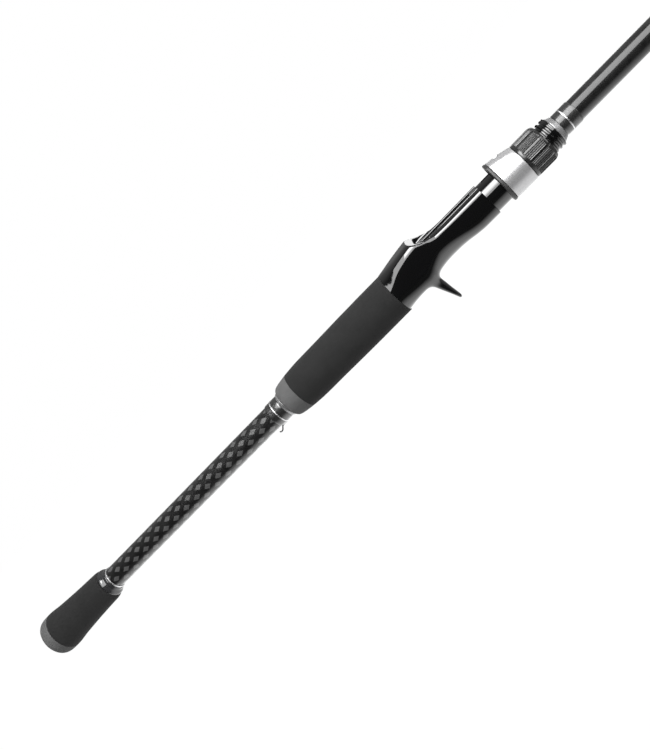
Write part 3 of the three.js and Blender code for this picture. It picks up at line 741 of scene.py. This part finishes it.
def settle(obj, field, rounds=8):
    """Moves a mesh's points onto the surface where the field is zero."""
    co = np.zeros(len(obj.data.vertices) * 3, np.float32)
    obj.data.vertices.foreach_get("co", co)
    p = co.reshape(-1, 3).astype(float) / MM
    step = 0.02
    for _ in range(rounds):
        value = field(p)
        slope = np.column_stack([
            (field(p + step * axis) - field(p - step * axis)) / (2 * step) for axis in np.eye(3)
        ])
        move = value / np.maximum((slope**2).sum(1), 0.05)
        p -= slope * np.clip(move, -0.6, 0.6)[:, None]
    obj.data.vertices.foreach_set("co", (p * MM).astype(np.float32).ravel())
    obj.data.update()


def seat_ring(x, inset=0.0):
    """Outline of the seat's body at a place along it."""
    c, s = circle(96)
    top, bottom, half, middle, n_top, n_bottom = np.ravel(looked_up(SEAT_TABLE, np.array([x])))
    top = min(top, looked_up(MOUTH_TABLE, np.array([x]))[0][0])
    upper = s >= 0
    power = 2 / np.where(upper, n_top, n_bottom)
    rise = np.where(upper, top - middle, middle - bottom) - inset
    return ring(x, (half - inset) * squared(c, power), middle + rise * squared(s, power))


def trigger_rings():
    c, s = circle(32)
    rings = []
    for z in np.linspace(TRIGGER_TIP, -1, 40):
        rear, front, half = np.ravel(looked_up(TRIGGER_TABLE, np.array([z])))
        rings.append(ring((rear + front) / 2 + (front - rear) / 2 * c, half * s, z))
    return rings


def seat_body():
    """Body and trigger as one smooth moulding, cut clean at both ends and hollowed."""
    moulding = [seat_ring(x) for x in np.arange(SEAT[0] - 1.5, 385.4, 0.8)]
    body = joined([skinned("seat_moulding", moulding, "seat_black"),
                   skinned("trigger_blank", trigger_rings(), "seat_black")])
    remesh = body.modifiers.new("remesh", "REMESH")
    remesh.mode = "VOXEL"
    remesh.voxel_size = 0.34 * MM
    bake(body)
    settle(body, seat_field)
    for x0, x1 in ((CLEAR_REAR, SEAT[0] + 0.05), (SEAT_STEP - 0.45, CLEAR_FRONT)):
        boolean(body, block("end_cut", (x0, -CLEAR_SIDE, -CLEAR_SIDE), (x1, CLEAR_SIDE, CLEAR_SIDE)))
    # the step's rounded edge: place behind the step and inset of the outline
    edge = [(-1.2, 0.02), (-0.3, 0), (-0.22, 0.01), (-0.12, 0.05), (-0.05, 0.12), (-0.01, 0.22), (0, 0.34)]
    rings = [seat_ring(SEAT_STEP + x, inset) for x, inset in edge]
    boolean(body, skinned("step_edge", rings, "seat_black"), "UNION")
    boolean(body, pocket_cutter())
    cut_channel(body, CHANNEL_START, SEAT_STEP + 1, CHANNEL_HALF, CHANNEL_FLOOR)
    boolean(body, bore_cut(SEAT_BORE, CLEAR_REAR, CLEAR_FRONT, 96))
    dress(body, "seat_black", 38)
    stand_in(body, "rod", "reel_seat")


def cut_channel(obj, x0, x1, half, floor):
    boolean(obj, block("channel_cut", (x0, -half, floor), (x1, half, CLEAR_TOP)))


def pocket_cutter():
    """The space under the fixed hood: wide, low and closing towards the rear, with rounded corners."""
    c, s = (squared(wave, 2 / 4.5) for wave in circle(48))
    rings = []
    for x, top, wide in POCKET_ROWS:
        middle, rise = (POCKET_FLOOR + top) / 2, (top - POCKET_FLOOR) / 2
        rings.append(ring(x, POCKET_HALF * wide * c, middle + rise * s))
    return skinned("pocket_cut", rings, "liner")


def platform_ribs():
    """Raised lines along the platform that grip the reel's foot."""
    bars = []
    for y, end, top in RIBS:
        outline = [(-RIB_HALF, 7.5), (-RIB_HALF, top), (RIB_HALF, top), (RIB_HALF, 7.5)]
        rings = [[(x, y + py, pz) for py, pz in rounded(outline, 0.75, 6)] for x in (RIB_START, end)]
        bars.append(skinned(f"platform_rib_{len(bars) + 1}", rings, "seat_black"))
    ribs = joined(bars)
    ribs.name = "platform_ribs"
    dress(ribs, "seat_black")
    stand_in(ribs, "rod", "reel_seat")


def bore_cut(radius, x0, x1, sides=128):
    """A cylinder on the rod's axis that only serves as a cutter."""
    return turned("bore_cut", [(x0, 0.01), (x0, radius), (x1, radius), (x1, 0.01)], "liner", sides)


def thread_depth(x, angle, start, end):
    """How far the thread's flank lies below its crest, for a right-hand thread with run-outs."""
    phase = (x / THREAD_PITCH - angle / TURN) % 1
    tooth = np.clip(np.abs(phase - 0.5) * 4.2 - 0.55, 0, 1)
    ease = np.clip((x - start) / 1.5, 0, 1) * np.clip((end - x) / 1.2, 0, 1)
    return THREAD_DEPTH * (1 - tooth) * ease


def seat_barrel():
    """Barrel with its right-hand thread and keyway."""
    x0, x1 = SEAT_STEP - 1.0, SEAT[1]
    fine = 0.125
    outside = [(x, BARREL_RADIUS) for x in np.arange(x0, x1 - 0.25, fine)]
    outside += [(x1 - 0.12, BARREL_RADIUS - 0.06), (x1, BARREL_RADIUS - 0.22)]
    profile = [(x0, SEAT_BORE)] + outside + [(x1, SEAT_BORE)]

    def thread(x, r, a):
        return np.where(r > SEAT_BORE + 0.5, r - thread_depth(x, a, THREAD_START, x1 - 0.4), r)

    barrel = turned("seat_barrel", profile, "seat_black", sides=180, wave=thread, sharp=40)
    cut_channel(barrel, SEAT_STEP + 3.5, x1 + 1, KEYWAY_HALF, KEYWAY_FLOOR)
    dress(barrel, "seat_black", 40)
    stand_in(barrel, "rod", "reel_seat")


# ---- hood, liner and nut


# Where the hood's flat sides meet its arched top, across and up, at its rear end and at the nut.
HOOD_CORNERS = ((5.3, 12.9), (5.9, 9.15))
HOOD_TOPS = (13.95, 11.1)
HOOD_BULGE = 0.4  # how far the top rises between its ends, over a straight line
HOOD_WALL = 0.65
HOOD_BORE = 9.82
LINER_WALL = 0.98
SLIDING_BORE = BARREL_RADIUS + RUNNING

# The small hole in the hood's top: its place, half length and half width, and how it widens upwards.
DIMPLE_AT, DIMPLE_LONG, DIMPLE_WIDE = 401, 1.55, 1.15
DIMPLE_ROWS = [(10.0, 1.0), (12.0, 1.0), (12.35, 1.06), (12.8, 1.35), (15, 3.0)]


def hood_ring(x, inset, low_radius=None):
    """Outline of the hood at a place along it: round below, with flat sides and an arched top above."""
    radius = reach("sliding_hood")
    t = np.clip((x - LINER[0]) / (HOOD[1] - LINER[0]), 0, 1)
    corner_y, corner_z = (rear + (front - rear) * t for rear, front in zip(*HOOD_CORNERS))
    bulge = HOOD_BULGE * 4 * t * (1 - t)
    corner_z += 0.2 * bulge
    rise = HOOD_TOPS[0] + (HOOD_TOPS[1] - HOOD_TOPS[0]) * t + bulge - corner_z
    far = max(math.hypot(corner_y, corner_z), radius)
    lean = math.atan2(corner_z, corner_y) - math.acos(radius / far)
    across, up = circle(192)
    out = np.abs(across)
    side = radius / np.maximum(np.cos(np.maximum(np.arctan2(up, out) - lean, 0)), 0.2)
    # the top is a parabola through both corners
    lift = np.maximum(up, 0.02)
    sag = 4 * rise * (out / corner_y) ** 2 * (corner_z + rise)
    arch = 2 * (corner_z + rise) / (lift + np.sqrt(lift**2 + sag))
    r = np.where(up > 0.05, smooth_min(side, arch, 0.35), side) - inset
    if low_radius:
        r = np.where(up > 0, np.maximum(r, low_radius), low_radius)
    return ring(x, r * across, r * up)


def shell_rings(x0, x1, inset, edge, step=0.5):
    """Rings of a hood shell whose end edges are rounded."""
    turns = [(edge * (1 - math.cos(t)), edge * (1 - math.sin(t))) for t in np.linspace(0, math.pi / 2, 6)]
    rings = [hood_ring(x0 + along, inset + down) for along, down in turns]
    rings += [hood_ring(x, inset) for x in np.arange(x0 + edge + step, x1 - edge, step)]
    return rings + [hood_ring(x1 - along, inset + down) for along, down in turns[::-1]]


def sliding_hood():
    """Silver shell with its small hole, and the liner in it with the key that stops it from turning."""
    hood = skinned("hood_shell", shell_rings(HOOD[0], HOOD[1], 0, 0.3), "hood_silver")
    cavity = [hood_ring(x, HOOD_WALL) for x in np.linspace(HOOD[0] - 1, HOOD[1] - 1, 16)]
    boolean(hood, skinned("cavity", cavity, "liner"))
    boolean(hood, bore_cut(HOOD_BORE, HOOD[0] + 2, HOOD[1] + 1))
    c, s = circle(48)
    dimple = [ring(DIMPLE_AT + DIMPLE_LONG * grow * c, DIMPLE_WIDE * grow * s, z) for z, grow in DIMPLE_ROWS]
    boolean(hood, skinned("dimple", dimple, "liner"))
    dress(hood, "hood_silver", 35)
    stand_in(hood, "hood", "sliding_hood")

    sleeve = [hood_ring(x, HOOD_WALL + GLUE) for x in np.linspace(LINER[0] + 0.9, LINER[1], 12)]
    liner = skinned("liner_sleeve", sleeve, "liner")
    rim = skinned("liner_rim", shell_rings(LINER[0], HOOD[0] - 0.06, -0.15, 0.7, 0.2), "liner")
    boolean(liner, rim, "UNION")
    inside = HOOD_WALL + GLUE + LINER_WALL
    room = [hood_ring(x, inside, SLIDING_BORE - 0.2) for x in (LINER[0] - 1, LINER[1] + 1)]
    boolean(liner, skinned("foot_room", room, "liner"))
    boolean(liner, bore_cut(SLIDING_BORE, LINER[0] - 1, LINER[1] + 1))
    key = block("key", (402, RUNNING - KEYWAY_HALF, KEYWAY_FLOOR + RUNNING),
                (LINER[1], KEYWAY_HALF - RUNNING, 10.6))
    boolean(liner, key, "UNION")
    dress(liner, "liner", 35)
    stand_in(liner, "hood", "hood_liner")


NUT_PANELS, PANEL_RIBS = 12, 4
NUT_GRIP = (NUT[0] + 2.8, NUT[1])  # the nut in front of its neck, which snaps into the hood
NUT_RIM = reach("lock_nut")
NECK, NECK_LIP = 9.62, 10.02  # radii


def nut_profile():
    """Outline of the nut before its panels and ribs are cut, with a fine row of points along the grip."""
    start, (x0, x1) = NUT[0], NUT_GRIP
    grip = [(x, NUT_RIM) for x in np.arange(x0 + 0.25, x1 - 0.1, 0.12)]
    return [
        (start, SLIDING_BORE), (start, NECK_LIP - 0.1), (start + 0.1, NECK_LIP), (start + 0.7, NECK_LIP),
        (start + 0.8, NECK), (x0, NECK), (x0, NUT_RIM - 0.25), (x0 + 0.1, NUT_RIM - 0.07),
        *grip, (x1, 9.7), (x1, SLIDING_BORE),
    ]


def lock_nut():
    """Nut with twelve raised panels, each with fine ribs, between a plain flange and a rounded chamfer."""
    x0, x1 = NUT_GRIP
    chamfer_length = 2.9

    def grip(x, r, a):
        part = (a / TURN * NUT_PANELS) % 1
        groove = 1 - np.clip((np.abs(part - 0.5) - 0.36) / 0.05, 0, 1)
        inside = np.clip((part - 0.14) / 0.72, 0, 1)
        rib = 0.5 + 0.5 * np.cos(inside * PANEL_RIBS * TURN)
        zone = np.clip((x - x0 - 1.6) / 0.3, 0, 1) * np.clip((x1 - 1.6 - x) / 0.3, 0, 1)
        low = 0.62 * (1 - groove) * np.clip((x - x0 - 1.4) / 0.3, 0, 1)
        fine = 0.26 * (1 - rib) * groove * zone
        chamfer = np.clip((x - (x1 - chamfer_length)) / chamfer_length, 0, 1)
        cone = 1.05 * chamfer**2.2
        return np.where(r > 10.3, r - low * (1 - 0.6 * chamfer) - fine - cone, r)

    sides = 960
    nut = turned("nut_ribbed", nut_profile(), "nut_black", sides=sides, wave=grip, sharp=50)
    stand_in(nut, "nut", "lock_nut")


# ---- line guides

THREAD_LAYER = 0.38  # a guide wrap with its varnish
FOOT_HEIGHT = 0.65
FOOT_SQUARE = 0.6  # power that makes the foot's section squarer than an ellipse
STRUTS = {1: (-0.95, 0.95), -1: (0.0,)}  # angles of the struts in front of a ring and behind it
RING_ROOM = 0.52  # from a guide's outside to the seat of its ring
WIRE_ROOM = 0.2  # from a guide's outside to the middle of its struts


def raised(obj, height):
    """Moves a mesh up from the rod's axis."""
    obj.data.transform(Matrix.Translation((0, 0, height * MM)))
    return obj


def loop_band(name, outline, radii, steps, slot, height):
    """A turned band whose outline ends where it starts, raised from the rod's axis."""
    return raised(turned(name, rounded(outline, radii, steps)[:-1], slot, sides=96), height)


def loop_ring(node):
    """Polished ring that the line runs through, in the place of its CAD node. Gives its place and size."""
    low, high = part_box(node)
    at, height = (low.x + high.x) / 2 / MM, (low.z + high.z) / 2 / MM
    size = (high.y - low.y) / MM + 1.2
    outer = size / 2 - 0.6
    half, thick = max(1.4, size * 0.17) / 2, max(0.75, size * 0.085)
    bore = outer + 0.05 - thick
    side = bore + thick * 0.5
    outline = [(at, outer), (at + half, outer), (at + half, side), (at, bore), (at - half, side),
               (at - half, outer), (at, outer)]
    radii = [0, 0.12, 0.25, 0.8, 0.25, 0.12, 0]
    stand_in(loop_band(node + "_polished", outline, radii, 6, "guide_ring", height), "rod", node)
    return at, height, size


def loop_holder(name, at, height, size):
    """Band that holds the ring."""
    bore, rim = size / 2 - RING_ROOM, size / 2 + 0.1
    x0, x1 = at - 0.55, at + 0.55
    outline = [(at, bore), (x1, bore), (x1, rim), (x0, rim), (x0, bore), (at, bore)]
    return loop_band(name, outline, [0, 0.1, 0.35, 0.35, 0.1, 0], 5, "guide_frame", height)


def rim_point(angle, height, size):
    """Y and Z of a place on a guide's wire, at an angle from its lowest point."""
    radius = size / 2 - WIRE_ROOM
    return radius * math.sin(angle), height - radius * math.cos(angle)


def add_strut(body, line, radius):
    boolean(body, tube("strut", line, radius, "guide_frame", 14, 8), "UNION")


def open_loop(body, at, height, size):
    """Clears a guide's struts from the seat of its ring."""
    boolean(body, raised(bore_cut(size / 2 - RING_ROOM, at - 3, at + 3), height))


def guide_foot(near, far, seat):
    """Foot that lies on the blank, thinner and narrower towards its toe."""
    c, s = (squared(wave, FOOT_SQUARE) for wave in circle(24))
    width = min(1.9, seat * 1.1)
    rings = []
    for share in np.linspace(0, 1, 12):
        half = width / 2 * (1 - 0.45 * share**2)
        tall = FOOT_HEIGHT * (1 - 0.55 * share**1.5)
        rings.append(ring(near + (far - near) * share, half * c, seat + tall / 2 + tall / 2 * s))
    return skinned("guide_foot", rings, "guide_frame")


def guide_frame(node, at, height, size, rear_foot):
    """Ring holder, its feet and its struts as one piece: two struts in front, one behind."""
    body = loop_holder(node + "_wire", at, height, size)
    seat = blank_radius(at - 12) + GLUE
    top = seat + FOOT_HEIGHT
    for way in (1, -1) if rear_foot else (1,):
        near = at + way * size * 0.55
        boolean(body, guide_foot(near - way * 0.1, near + way * (4.5 + size * 0.75), seat), "UNION")
        for angle in STRUTS[way]:
            y, z = rim_point(angle, height, size)
            middle = ((at + near) / 2, y * 0.75, top + (z - top) * 0.55)
            add_strut(body, [(near + way * 0.8, y * 0.12, top - 0.35), middle, (at, y, z)],
                      [0.48, 0.40, 0.40])
    open_loop(body, at, height, size)
    dress(body, "guide_frame", 38)
    stand_in(body, "rod", node)


def guide_wrap(node, at, size, way):
    """Varnished thread over a foot: it swells over the foot and thins out at both ends."""
    x0 = at + way * (size * 0.55 + 1.6)
    x1 = at + way * (size * 0.55 + 6.4 + size * 0.75)

    def height_share(t):
        near = np.clip(t / 0.09, 0, 1)
        far = np.clip((1 - t) / 0.16, 0, 1)
        return np.sqrt(1 - (1 - near) ** 2) * np.sqrt(1 - (1 - far) ** 2)

    shares = np.concatenate([np.linspace(0, 0.1, 10), np.linspace(0.13, 0.82, 22), np.linspace(0.85, 1, 12)])
    places = x0 + (x1 - x0) * shares
    inside = np.array([blank_radius(x) + 0.03 for x in places])
    outside = inside + (GLUE + THREAD_LAYER - 0.03) * height_share(shares) + 0.01

    def swell(x, r, a):
        t = (x - x0) / (x1 - x0)
        ease = np.clip((1 - t) / 0.3, 0, 1)
        ease = ease * ease * (3 - 2 * ease) * height_share(t)
        outer = r > np.interp(t, shares, inside) + 0.005
        return np.where(outer, r + 0.8 * ease * np.maximum(np.sin(a), 0) ** 3, r)

    profile = list(zip(places, outside)) + list(zip(places[::-1], inside[::-1]))
    stand_in(turned(node + "_varnished", profile, "thread_wrap", sides=96, wave=swell, sharp=60), "rod", node)


def line_guides():
    """Eight guides, of which the first three have a second foot behind the ring."""
    for number in range(1, 9):
        label = f"guide_{number}"
        rear_foot = f"{label}_rear_wrap" in frame["nodes"]
        at, height, size = loop_ring(label + "_ring")
        guide_frame(label + "_frame", at, height, size, rear_foot)
        guide_wrap(label + "_front_wrap", at, size, 1)
        if rear_foot:
            guide_wrap(label + "_rear_wrap", at, size, -1)


def tip_guide():
    """Tube over the blank's tip with its loop, ring and four struts, and the wrap behind it."""
    at, height, size = loop_ring("tip_guide_ring")
    start, end = span("tip_guide_tube")[0], BLANK[1] + 1
    bore = blank_radius(start) + GLUE
    outer = bore + 0.4
    wall = 0.6  # closes the tube's end
    profile = [(start, bore), (start, outer), (end, outer), (end, 0.02), (end - wall, 0.02),
               (end - wall, bore)]
    body = turned("tip_tube", rounded(profile, [0, 0.2, 0.7, 0, 0, 0]), "guide_frame", sides=64)
    boolean(body, loop_holder("tip_holder", at, height, size), "UNION")
    for angle in (-1.9, -0.45, 0.45, 1.9):
        y, z = rim_point(angle, height, size)
        rear, base = (start + 5, outer - 0.1) if abs(angle) > 1 else (end - 0.9, outer - 0.5)
        middle = (rear + (at - rear) * 0.55, y * 0.7, base + (z - base) * 0.5)
        add_strut(body, [(rear, y * 0.15, base), middle, (at, y, z)], 0.38)
    open_loop(body, at, height, size)
    boolean(body, bore_cut(bore, start - 1, end - wall))
    dress(body, "guide_frame", 38)
    stand_in(body, "rod", "tip_guide_tube")
    x0, x1 = span("tip_thread_wrap")
    low, high = blank_radius(x0) + 0.03, blank_radius(x0) + GLUE + THREAD_LAYER
    outline = [(x0, low), (x0, low + 0.2), (x0 + 0.9, high), (x1 - 0.5, high), (x1, high - 0.2), (x1, low)]
    wrap = turned("tip_wrap_varnished", rounded(outline, 0.3, 6), "thread_wrap", sides=96, sharp=60)
    stand_in(wrap, "rod", "tip_thread_wrap")


# ---- camera, light and stage

CAMERA_DISTANCE = 430.0  # from the rod's axis
CAMERA_FOOT = 369.0  # place along the rod that is square to the camera
CAMERA_RISE = 14.0  # degrees above the rod's side, towards the reel's side
CAMERA_YAW = 15.02  # degrees that the camera looks back towards the butt
CAMERA_ROLL = 45.45  # degrees that the rod climbs across the picture
CAMERA_DIP = 0.5605  # degrees that the camera aims below the rod's axis
SENSOR, LENS = 36, 37.6512
PAPER_WHITE = 1.0  # brightness of the background that the camera sees
FLOOR_RADIANCE = 1.7  # brightness of the floor as light and in reflections, below the seat


def camera():
    """Close camera on the handle, turned so that the rod climbs across the picture."""
    rise, yaw, roll, dip = (math.radians(v) for v in (CAMERA_RISE, CAMERA_YAW, CAMERA_ROLL, CAMERA_DIP))
    back = Vector((0, -math.cos(rise), math.sin(rise)))
    look = (-back * math.cos(yaw) + Vector((-1, 0, 0)) * math.sin(yaw)).normalized()
    along = (Vector((1, 0, 0)) - look * look.x).normalized()
    up = along.cross(look)
    aim = (look * math.cos(dip) - up * math.sin(dip)).normalized()
    up = (up * math.cos(dip) + look * math.sin(dip)).normalized()
    right = along * math.cos(roll) - up * math.sin(roll)
    top = along * math.sin(roll) + up * math.cos(roll)
    data = bpy.data.cameras.new("camera")
    data.sensor_width, data.lens = SENSOR, LENS
    data.clip_start, data.clip_end = 0.01, 50
    obj = linked("camera", data)
    place = (Vector((CAMERA_FOOT, 0, 0)) + back * CAMERA_DISTANCE) * MM
    turn = Matrix((right, top, -aim)).transposed()
    obj.matrix_world = Matrix.Translation(place) @ turn.to_4x4()
    bpy.context.scene.camera = obj


def area_light(name, place, target, size, radiance):
    """A soft box that shines from a place towards a target with the given brightness."""
    data = bpy.data.lights.new(name, "AREA")
    data.shape = "RECTANGLE"
    data.size, data.size_y = size
    data.energy = radiance * math.pi * size[0] * size[1]
    obj = linked(name, data)
    ahead = (Vector(target) - Vector(place)).normalized()
    side = Vector((0, 1, 0)) if abs(ahead.x) > 0.7 else Vector((1, 0, 0))
    up = side.cross(ahead).normalized()
    side = ahead.cross(up)
    obj.matrix_world = Matrix.Translation(place) @ Matrix((side, -up, -ahead)).transposed().to_4x4()


def lights():
    """A long soft box over the camera's side of the seat, hottest in the middle, and two cards."""
    # name, angles of its edges above the rod's side, ends along the rod, brightness, distance
    boxes = [("soft_box", 26, 80, -0.08, 1.6, 5.5, 0.9)]
    boxes += [(f"hot_middle_{low}", low, 74, 0.2, 0.55, 4.5, 0.92 + low / 5000) for low in (38, 45, 52)]
    for name, low, high, x0, x1, radiance, distance in boxes:
        middle, half = math.radians((low + high) / 2), math.radians((high - low) / 2)
        centre = (x0 + x1) / 2
        place = (centre, -distance * math.cos(middle), distance * math.sin(middle))
        area_light(name, place, (centre, 0, 0), (x1 - x0, 2 * distance * math.tan(half)), radiance)
    area_light("front_card", (1.6, -0.2, 0.12), (0.4, 0, 0), (0.6, 0.6), 4)
    area_light("back_card", (0.91, 2.0, 0.25), (0.4, 0, 0), (0.72, 0.36), 2.2)


def studio_world():
    """White to the camera. For light and reflections: dim behind and above, dark on the camera's side."""
    world = bpy.data.worlds.new("studio")
    bpy.context.scene.world = world
    world.use_nodes = True
    s = Nodes(world.node_tree)
    seen = s.nodes["Background"]
    s.set(seen, "Color", 1.0)
    s.set(seen, "Strength", PAPER_WHITE)
    place = s.add("ShaderNodeTexCoord").outputs["Generated"]
    depth = s.add("ShaderNodeSeparateXYZ", {0: place}).outputs[1]
    fade = s.ramp(depth, -0.25, 0.35, 0.012, 0.3)
    lit = s.add("ShaderNodeBackground", {"Color": 1.0, "Strength": fade}).outputs[0]
    camera_ray = s.add("ShaderNodeLightPath").outputs["Is Camera Ray"]
    mix = s.add("ShaderNodeMixShader", {0: camera_ray, 1: lit, 2: seen.outputs[0]})
    s.set(s.nodes["World Output"], 0, mix.outputs[0])


def floor():
    """A pale table top well below the rod. Its light fades towards the camera and towards the tip."""
    drop, front, back, half = -0.30, -0.62, 3.0, 3.0
    mesh = bpy.data.meshes.new("floor")
    corners = [(-half, front, drop), (half + 2, front, drop), (half + 2, back, drop),
               (-half, back, drop)]
    mesh.from_pydata(corners, [], [(0, 1, 2, 3)])
    obj = linked("floor", mesh)
    s = Shader("floor_paper", (0.0, 0.0, 0.0), 1.0)
    seen = s.add("ShaderNodeLightPath").outputs["Is Camera Ray"]
    s.put("Emission Color", (1.0, 1.0, 1.0))
    split = s.add("ShaderNodeSeparateXYZ", {0: s.place})
    near = s.ramp(split.outputs[1], -0.38, -0.10, 0, FLOOR_RADIANCE)
    far = s.ramp(split.outputs[0], 0.45, 0.68, 1, 0.13)
    glow = s.math("MULTIPLY", near, far)
    shown = s.add("ShaderNodeMix", {0: seen, 2: glow, 3: PAPER_WHITE}).outputs[0]
    s.put("Emission Strength", shown)
    mesh.materials.append(s.finish())


def stage():
    bpy.context.scene.view_settings.view_transform = "Standard"
    lights()
    studio_world()
    floor()


# ---- everything

camera()
stage()
blank_tube()
butt_end()
main_grip()
fittings()
seat_body()
platform_ribs()
seat_barrel()
sliding_hood()
lock_nut()
line_guides()
tip_guide()

# the CAD nodes that stay in the picture take the material of their slot
SLOTS = {row["node"]: row["material_slot"] for row in frame["record"]["subparts"]}
for node_name, cad_object in frame["nodes"].items():
    if not cad_object.hide_render:
        cad_object.data.materials.clear()
        cad_object.data.materials.append(MATERIALS[SLOTS[node_name]])
